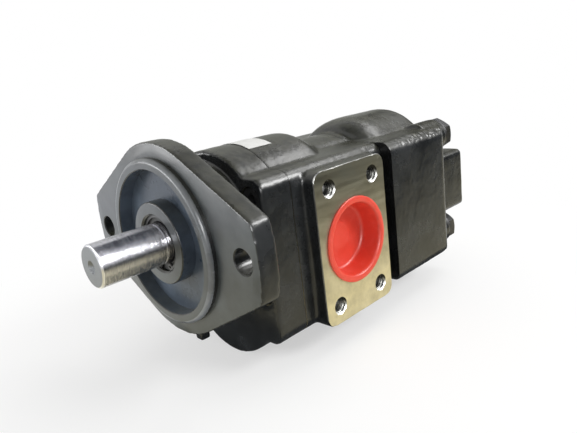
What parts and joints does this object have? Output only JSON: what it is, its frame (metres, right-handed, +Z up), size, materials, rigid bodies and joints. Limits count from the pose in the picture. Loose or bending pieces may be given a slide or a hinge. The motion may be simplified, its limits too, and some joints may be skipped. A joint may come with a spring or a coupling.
{
  "type": "tandem hydraulic gear pump",
  "caption": "Tandem external gear pump in black iron castings: two-bolt pilot flange, keyed shaft, side suction pad with transit cap, side and rear outlets.",
  "frame": {"origin": "centre of the pilot in the plane of the mounting face", "axes": "+X along the shaft towards the pump's rear, -Y towards the suction pad, +Z up from the driven gear to the drive shaft"},
  "size_m": [0.301, 0.172, 0.1495],
  "materials": {
    "black_paint": "satin black paint over cast iron, with bare machined pad and pilot",
    "ground_steel": "ground steel",
    "dark_steel": "black oxide and paint",
    "alloy_block": "machined alloy",
    "bronze_bush": "bearing bronze",
    "rubber": "nitrile rubber",
    "red_plastic": "soft moulded plastic"
  },
  "bodies": {
    "casing": {"front_cover": "black_paint", "front_housing": "black_paint", "rear_housing": "black_paint", "front_block_a": "alloy_block", "front_block_b": "alloy_block", "rear_block_a": "alloy_block", "rear_block_b": "alloy_block", "front_bushes_a": "bronze_bush", "front_bushes_b": "bronze_bush", "rear_bushes_a": "bronze_bush", "rear_bushes_b": "bronze_bush", "front_block_seals": "rubber", "rear_block_seals": "rubber", "cover_joint_ring": "rubber", "rear_joint_ring": "rubber", "cover_dowels": "ground_steel", "rear_dowels": "ground_steel", "cover_screws": "dark_steel", "rear_bolts": "dark_steel", "rear_washers": "dark_steel", "outer_shaft_seal": "rubber", "inner_shaft_seal": "rubber", "garter_springs": "ground_steel", "seal_retaining_ring": "dark_steel", "suction_cap": "red_plastic"},
    "drive_line": {"drive_shaft": "ground_steel", "coupling_sleeve": "dark_steel", "rear_drive_gear": "ground_steel"},
    "front_driven": {"front_driven_gear": "ground_steel"},
    "rear_driven": {"rear_driven_gear": "ground_steel"}
  },
  "joints": [
    {"name": "drive_spin", "type": "hinge", "parent": "casing", "child": "drive_line", "pos_m": [0, 0, 0], "axis": [1, 0, 0], "continuous": true},
    {"name": "front_driven_spin", "type": "hinge", "parent": "casing", "child": "front_driven", "pos_m": [0.093, 0, -0.045], "axis": [1, 0, 0], "continuous": true},
    {"name": "rear_driven_spin", "type": "hinge", "parent": "casing", "child": "rear_driven", "pos_m": [0.175, 0, -0.045], "axis": [1, 0, 0], "continuous": true}
  ],
  "couplings": [
    {"joint": "front_driven_spin", "follows": "drive_spin", "ratio": -1},
    {"joint": "rear_driven_spin", "follows": "drive_spin", "ratio": -1}
  ]
}
